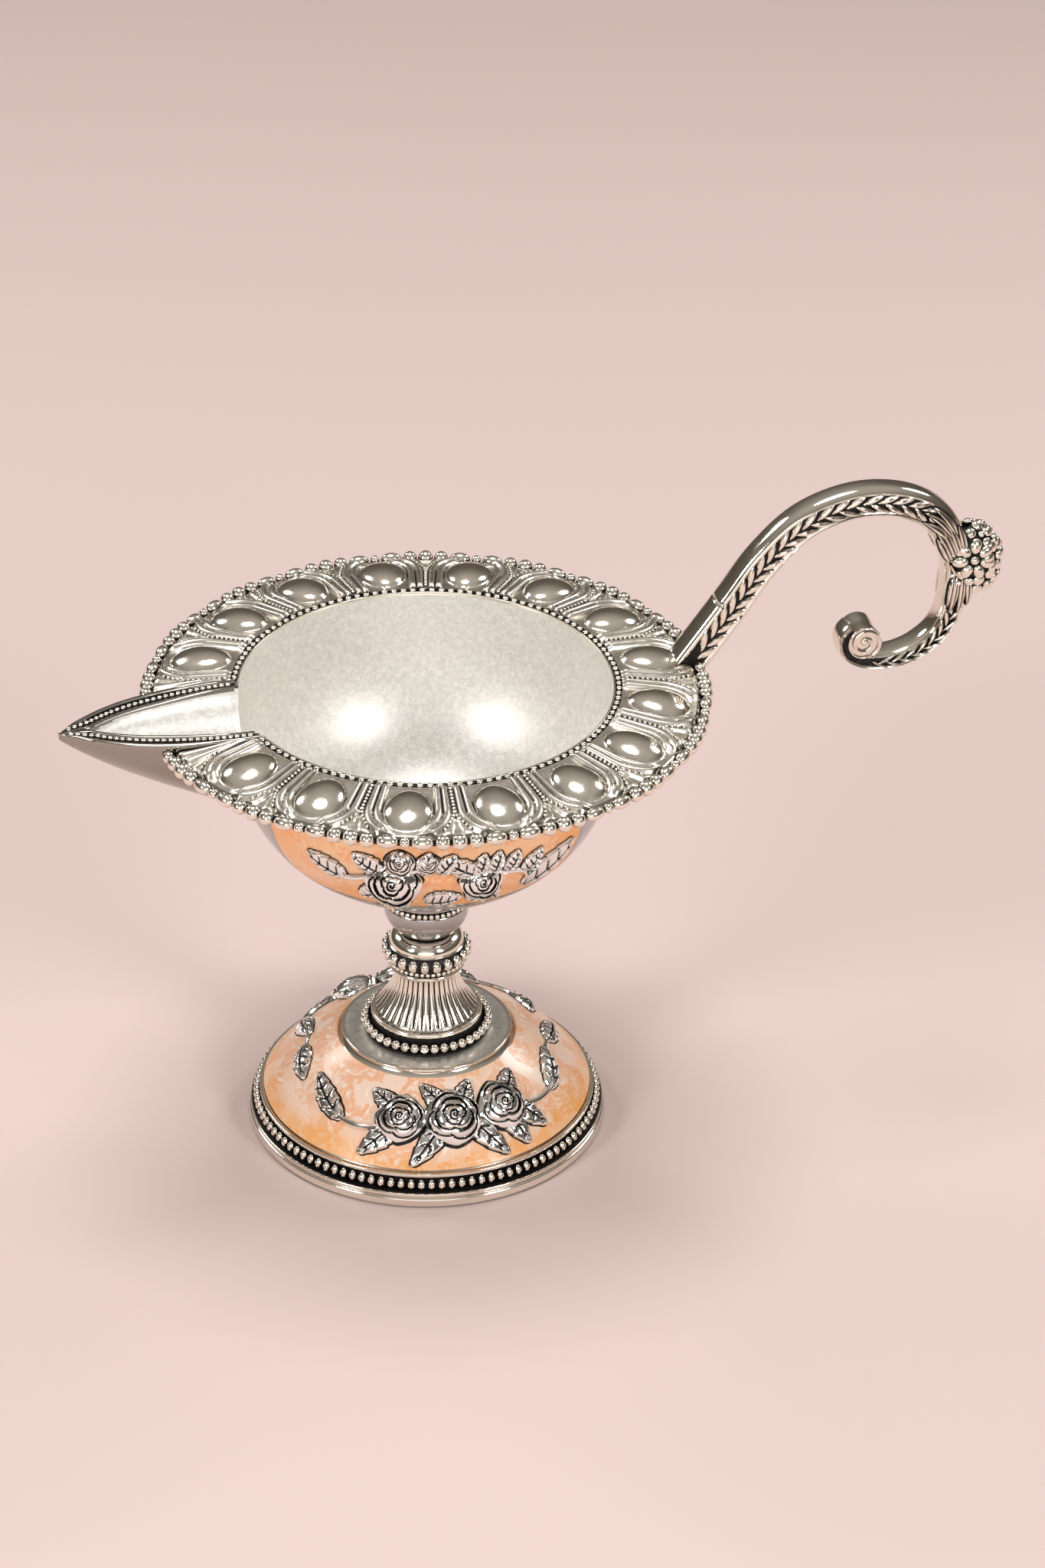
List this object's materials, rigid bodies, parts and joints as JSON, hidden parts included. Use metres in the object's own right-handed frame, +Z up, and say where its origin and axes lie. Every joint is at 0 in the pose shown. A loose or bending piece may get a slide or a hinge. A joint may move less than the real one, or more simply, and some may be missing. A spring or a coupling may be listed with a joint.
{
  "type": "footed oil lamp",
  "caption": "Footed diya oil lamp: round bowl with a pouring spout and lobed rim on a fluted stem and domed enamel base, with a scrolled finger handle.",
  "frame": {"origin": "centre of the underside of the felt pad, on the stem axis", "axes": "+Z up along the stem, +X from the stem towards the handle, so the spout points to -X"},
  "size_m": [0.1984, 0.1174, 0.1395],
  "materials": {
    "felt": "pressed felt",
    "polished_silver": "polished silver plate with dark recesses",
    "antique_silver": "cast ornament, oxidised in the hollows and bright on the ridges",
    "satin_silver": "satin silver plate",
    "blackened_metal": "oxidised black",
    "peach_enamel": "glossy pearl enamel with soft swirls",
    "plated_steel": "plain plated steel"
  },
  "bodies": {
    "root": {"base_pad": "felt", "base_shell": "polished_silver", "collar_beads": "polished_silver", "trumpet": "polished_silver", "knop": "polished_silver", "knop_beads": "polished_silver", "neck_cup": "polished_silver", "spout": "polished_silver", "rim_flange": "polished_silver", "rim_beads_front": "polished_silver", "rim_beads_back": "polished_silver", "handle_stub": "polished_silver", "handle_scroll": "polished_silver", "handle_flowers": "polished_silver", "foot_beads": "antique_silver", "knop_small_beads": "antique_silver", "neck_beads": "antique_silver", "spout_beads": "antique_silver", "opening_ring": "antique_silver", "laurel_upper_right": "antique_silver", "laurel_upper_left": "antique_silver", "laurel_lower_right": "antique_silver", "laurel_lower_left": "antique_silver", "base_spray_front": "antique_silver", "base_spray_back": "antique_silver", "bowl_spray_front": "antique_silver", "bowl_spray_back": "antique_silver", "collar_plate": "satin_silver", "bowl": "satin_silver", "collar_ring": "blackened_metal", "base_enamel": "peach_enamel", "enamel_front": "peach_enamel", "enamel_back": "peach_enamel", "base_washer": "plated_steel", "base_nut": "plated_steel", "tie_rod": "plated_steel", "bowl_boss": "plated_steel", "handle_dowel": "plated_steel"}
  },
  "joints": []
}
